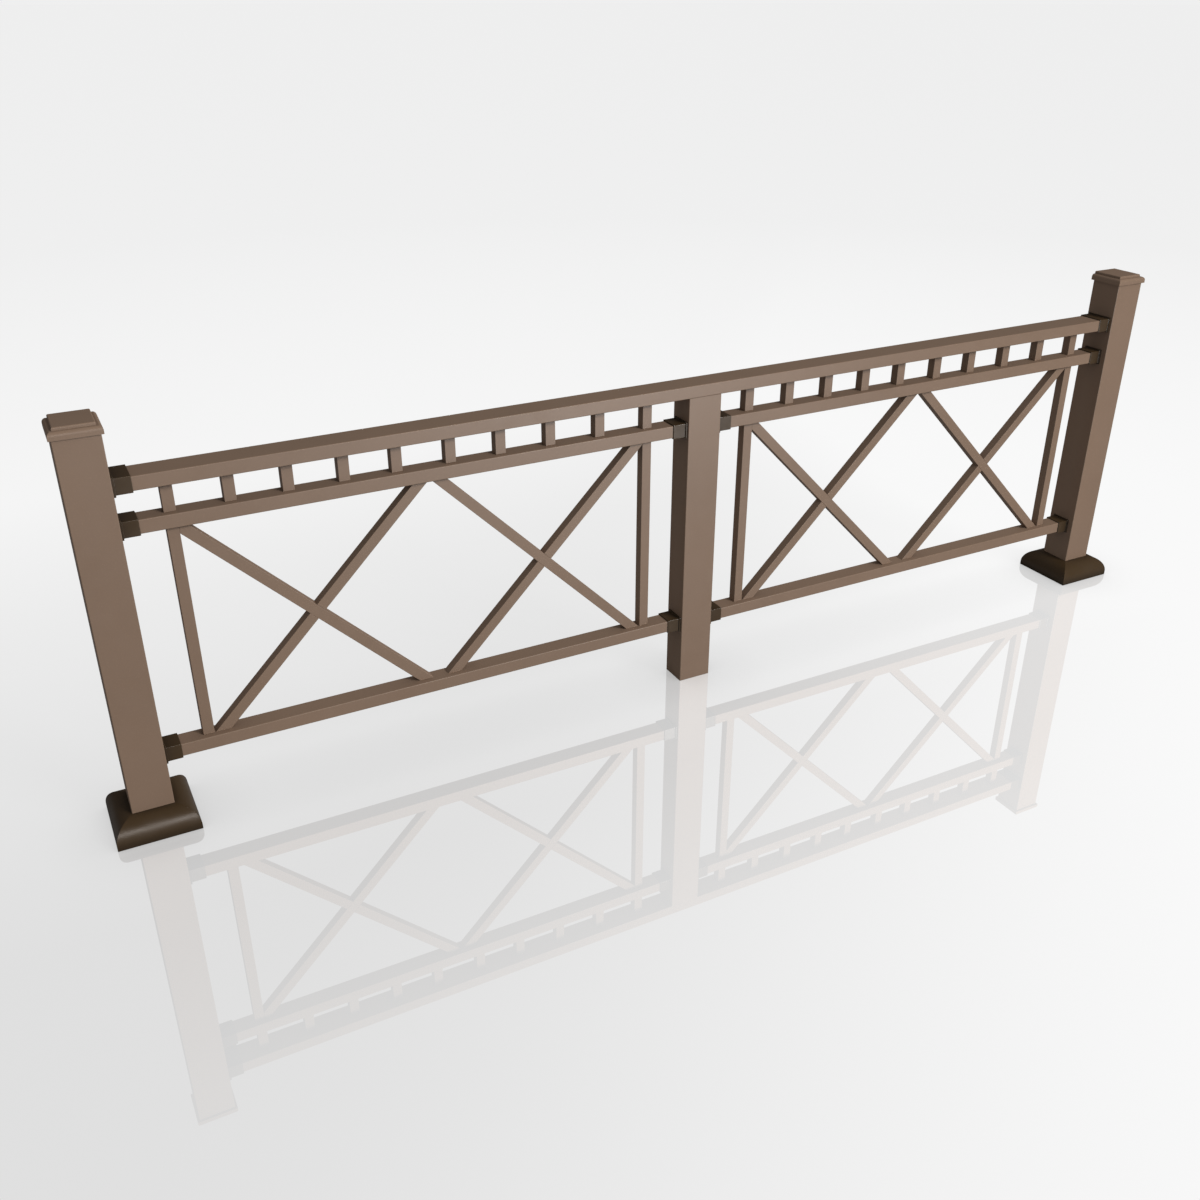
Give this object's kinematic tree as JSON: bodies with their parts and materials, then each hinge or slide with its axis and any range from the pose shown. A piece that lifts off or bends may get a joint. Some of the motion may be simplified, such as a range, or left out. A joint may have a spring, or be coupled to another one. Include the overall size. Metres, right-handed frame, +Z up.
{
  "type": "deck railing section",
  "caption": "Open aluminium deck railing section: capped end posts, a middle support post, rails joined by short pickets, and crossed braces in each bay, bolted to the deck.",
  "frame": {"origin": "on the deck at the foot of the middle support post, midway between the end posts and on the centre plane of the rails", "axes": "+X along the rails to the right seen from the front, +Y to the back, +Z up"},
  "size_m": [3.3524, 0.2028, 1.0527],
  "materials": {
    "bronze": "satin powder coat",
    "dark_bronze": "satin powder coat",
    "mill_plate": "mill finish plate"
  },
  "bodies": {
    "root": {"left_band_pickets": "bronze", "left_base_cover": "dark_bronze", "left_base_plate": "mill_plate", "left_bay_left_falling_brace": "bronze", "left_bay_left_picket": "bronze", "left_bay_left_rising_brace": "bronze", "left_bay_right_falling_brace": "bronze", "left_bay_right_picket": "bronze", "left_bay_right_rising_brace": "bronze", "left_bottom_bracket_at_end": "dark_bronze", "left_bottom_bracket_at_support": "dark_bronze", "left_bottom_rail": "bronze", "left_end_post": "bronze", "left_mid_bracket_at_end": "dark_bronze", "left_mid_bracket_at_support": "dark_bronze", "left_mid_rail": "bronze", "left_post_cap": "bronze", "left_top_bracket": "dark_bronze", "right_band_pickets": "bronze", "right_base_cover": "dark_bronze", "right_base_plate": "mill_plate", "right_bay_left_falling_brace": "bronze", "right_bay_left_picket": "bronze", "right_bay_left_rising_brace": "bronze", "right_bay_right_falling_brace": "bronze", "right_bay_right_picket": "bronze", "right_bay_right_rising_brace": "bronze", "right_bottom_bracket_at_end": "dark_bronze", "right_bottom_bracket_at_support": "dark_bronze", "right_bottom_rail": "bronze", "right_end_post": "bronze", "right_mid_bracket_at_end": "dark_bronze", "right_mid_bracket_at_support": "dark_bronze", "right_mid_rail": "bronze", "right_post_cap": "bronze", "right_top_bracket": "dark_bronze", "support_post": "bronze", "support_post_foot": "bronze", "top_rail": "bronze"}
  },
  "joints": []
}
